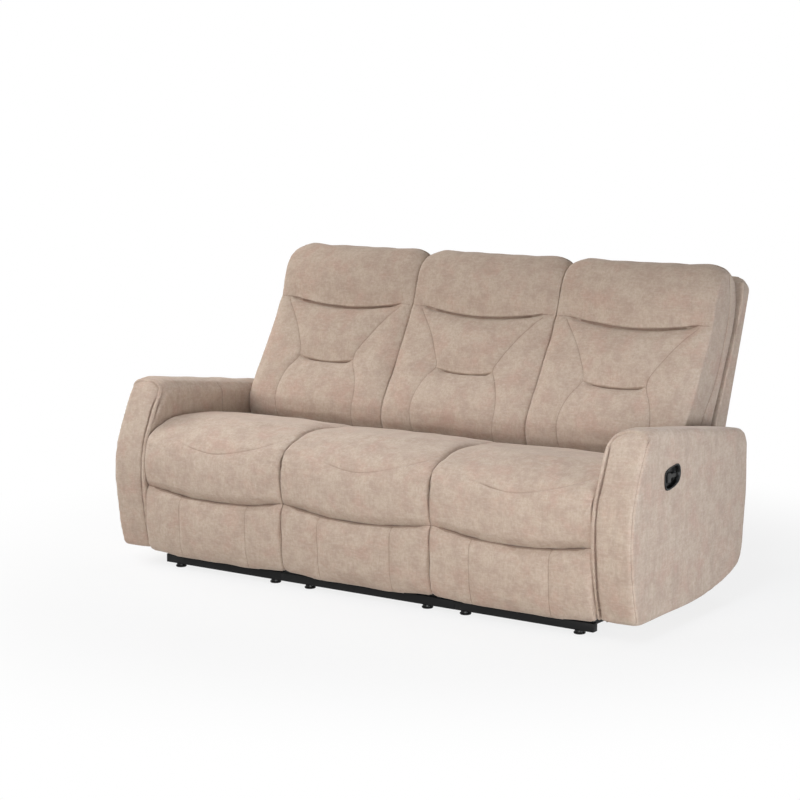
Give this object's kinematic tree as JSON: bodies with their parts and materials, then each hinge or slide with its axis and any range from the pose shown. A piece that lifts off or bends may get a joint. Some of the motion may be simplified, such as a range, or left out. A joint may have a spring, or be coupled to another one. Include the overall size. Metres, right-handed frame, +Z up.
{
  "type": "reclining sofa",
  "caption": "Fabric reclining sofa with padded arms, split back cushions, folding footrests and side release handles on a steel base.",
  "frame": {"origin": "on the floor, under the middle of the sofa's width and depth at rest", "axes": "+X along the sofa to its right as seen from the front, +Y from its front to its back, +Z up"},
  "size_m": [2.0346, 1.0422, 1.0729],
  "materials": {
    "upholstery": "mottled beige suede-like microfibre",
    "frame_steel": "satin black powder coat",
    "frame_timber": "bare plywood and softwood",
    "seat_webbing": "woven elastic webbing",
    "handle_plastic": "fine-grained black plastic"
  },
  "bodies": {
    "root": {"left_base_frame": "frame_steel", "left_foot_front_left": "handle_plastic", "left_foot_front_right": "handle_plastic", "left_foot_rear_left": "handle_plastic", "left_foot_rear_right": "handle_plastic", "middle_base_frame": "frame_steel", "middle_foot_front_left": "handle_plastic", "middle_foot_front_right": "handle_plastic", "middle_foot_rear_left": "handle_plastic", "middle_foot_rear_right": "handle_plastic", "right_base_frame": "frame_steel", "right_foot_front_left": "handle_plastic", "right_foot_front_right": "handle_plastic", "right_foot_rear_left": "handle_plastic", "right_foot_rear_right": "handle_plastic", "middle_seat_frame": "frame_timber", "middle_seat_webbing": "seat_webbing", "middle_seat_cushion": "upholstery", "middle_back_frame": "frame_steel", "middle_back_cushion": "upholstery", "middle_back_shell": "upholstery", "middle_front_board": "frame_timber", "middle_front_pad": "upholstery", "left_arm_frame": "frame_timber", "left_arm_upholstery": "upholstery", "left_handle_bezel": "handle_plastic", "right_arm_frame": "frame_timber", "right_arm_upholstery": "upholstery", "right_handle_bezel": "handle_plastic"},
    "left_seat": {"left_seat_frame": "frame_timber", "left_seat_webbing": "seat_webbing", "left_seat_cushion": "upholstery"},
    "left_back": {"left_back_frame": "frame_steel", "left_back_cushion": "upholstery", "left_back_shell": "upholstery"},
    "left_drive": {"left_drive_link_frame": "frame_steel"},
    "left_carrier": {"left_carrier_frame": "frame_steel"},
    "left_control": {"left_control_link_left": "frame_steel", "left_control_link_right": "frame_steel"},
    "left_panel_links": {"left_panel_link_left": "frame_steel", "left_panel_link_right": "frame_steel"},
    "left_footrest": {"left_footrest_board": "frame_timber", "left_footrest_pad": "upholstery"},
    "left_lever": {"left_release_lever": "handle_plastic"},
    "right_seat": {"right_seat_frame": "frame_timber", "right_seat_webbing": "seat_webbing", "right_seat_cushion": "upholstery"},
    "right_back": {"right_back_frame": "frame_steel", "right_back_cushion": "upholstery", "right_back_shell": "upholstery"},
    "right_drive": {"right_drive_link_frame": "frame_steel"},
    "right_carrier": {"right_carrier_frame": "frame_steel"},
    "right_control": {"right_control_link_left": "frame_steel", "right_control_link_right": "frame_steel"},
    "right_panel_links": {"right_panel_link_left": "frame_steel", "right_panel_link_right": "frame_steel"},
    "right_footrest": {"right_footrest_board": "frame_timber", "right_footrest_pad": "upholstery"},
    "right_lever": {"right_release_lever": "handle_plastic"}
  },
  "joints": [
    {"name": "left_recline", "type": "slide", "parent": "root", "child": "left_seat", "axis": [0, -1, 0], "range_m": [0, 0.09]},
    {"name": "left_back_tilt", "type": "hinge", "parent": "left_seat", "child": "left_back", "pos_m": [-0.585, 0.1915, 0.35571], "axis": [-1, 0, 0], "range_deg": [0, 28]},
    {"name": "left_footrest", "type": "hinge", "parent": "left_seat", "child": "left_drive", "pos_m": [-0.585, -0.40588, 0.272], "axis": [-1, 0, 0], "range_deg": [0, 90]},
    {"name": "left_carrier_turn", "type": "hinge", "parent": "left_drive", "child": "left_carrier", "pos_m": [-0.585, -0.37115, 0.07504], "axis": [-1, 0, 0], "range_deg": [-90, 0]},
    {"name": "left_control_turn", "type": "hinge", "parent": "left_seat", "child": "left_control", "pos_m": [-0.585, -0.34948, 0.2515], "axis": [-1, 0, 0], "range_deg": [0, 90]},
    {"name": "left_panel_link_turn", "type": "hinge", "parent": "left_drive", "child": "left_panel_links", "pos_m": [-0.585, -0.38505, 0.15382], "axis": [-1, 0, 0], "range_deg": [-90, 0]},
    {"name": "left_footrest_panel", "type": "hinge", "parent": "left_carrier", "child": "left_footrest", "pos_m": [-0.585, -0.42615, 0.16304], "axis": [-1, 0, 0], "range_deg": [0, 90]},
    {"name": "left_handle", "type": "hinge", "parent": "root", "child": "left_lever", "pos_m": [-1.006, -0.24061, 0.4916], "axis": [-1, 0, 0], "range_deg": [0, 10], "stiffness_Nm_per_rad": 1},
    {"name": "right_recline", "type": "slide", "parent": "root", "child": "right_seat", "axis": [0, -1, 0], "range_m": [0, 0.09]},
    {"name": "right_back_tilt", "type": "hinge", "parent": "right_seat", "child": "right_back", "pos_m": [0.585, 0.1915, 0.35571], "axis": [-1, 0, 0], "range_deg": [0, 28]},
    {"name": "right_footrest", "type": "hinge", "parent": "right_seat", "child": "right_drive", "pos_m": [0.585, -0.40588, 0.272], "axis": [-1, 0, 0], "range_deg": [0, 90]},
    {"name": "right_carrier_turn", "type": "hinge", "parent": "right_drive", "child": "right_carrier", "pos_m": [0.585, -0.37115, 0.07504], "axis": [-1, 0, 0], "range_deg": [-90, 0]},
    {"name": "right_control_turn", "type": "hinge", "parent": "right_seat", "child": "right_control", "pos_m": [0.585, -0.34948, 0.2515], "axis": [-1, 0, 0], "range_deg": [0, 90]},
    {"name": "right_panel_link_turn", "type": "hinge", "parent": "right_drive", "child": "right_panel_links", "pos_m": [0.585, -0.38505, 0.15382], "axis": [-1, 0, 0], "range_deg": [-90, 0]},
    {"name": "right_footrest_panel", "type": "hinge", "parent": "right_carrier", "child": "right_footrest", "pos_m": [0.585, -0.42615, 0.16304], "axis": [-1, 0, 0], "range_deg": [0, 90]},
    {"name": "right_handle", "type": "hinge", "parent": "root", "child": "right_lever", "pos_m": [1.006, -0.24061, 0.4916], "axis": [-1, 0, 0], "range_deg": [0, 10], "stiffness_Nm_per_rad": 1}
  ],
  "couplings": [
    {"joint": "left_back_tilt", "follows": "left_recline", "rad_per_m": 5.42},
    {"joint": "left_carrier_turn", "follows": "left_footrest", "ratio": -1},
    {"joint": "left_control_turn", "follows": "left_footrest", "ratio": 1},
    {"joint": "left_panel_link_turn", "follows": "left_footrest", "ratio": -1},
    {"joint": "left_footrest_panel", "follows": "left_footrest", "ratio": 1},
    {"joint": "right_back_tilt", "follows": "right_recline", "rad_per_m": 5.42},
    {"joint": "right_carrier_turn", "follows": "right_footrest", "ratio": -1},
    {"joint": "right_control_turn", "follows": "right_footrest", "ratio": 1},
    {"joint": "right_panel_link_turn", "follows": "right_footrest", "ratio": -1},
    {"joint": "right_footrest_panel", "follows": "right_footrest", "ratio": 1}
  ]
}
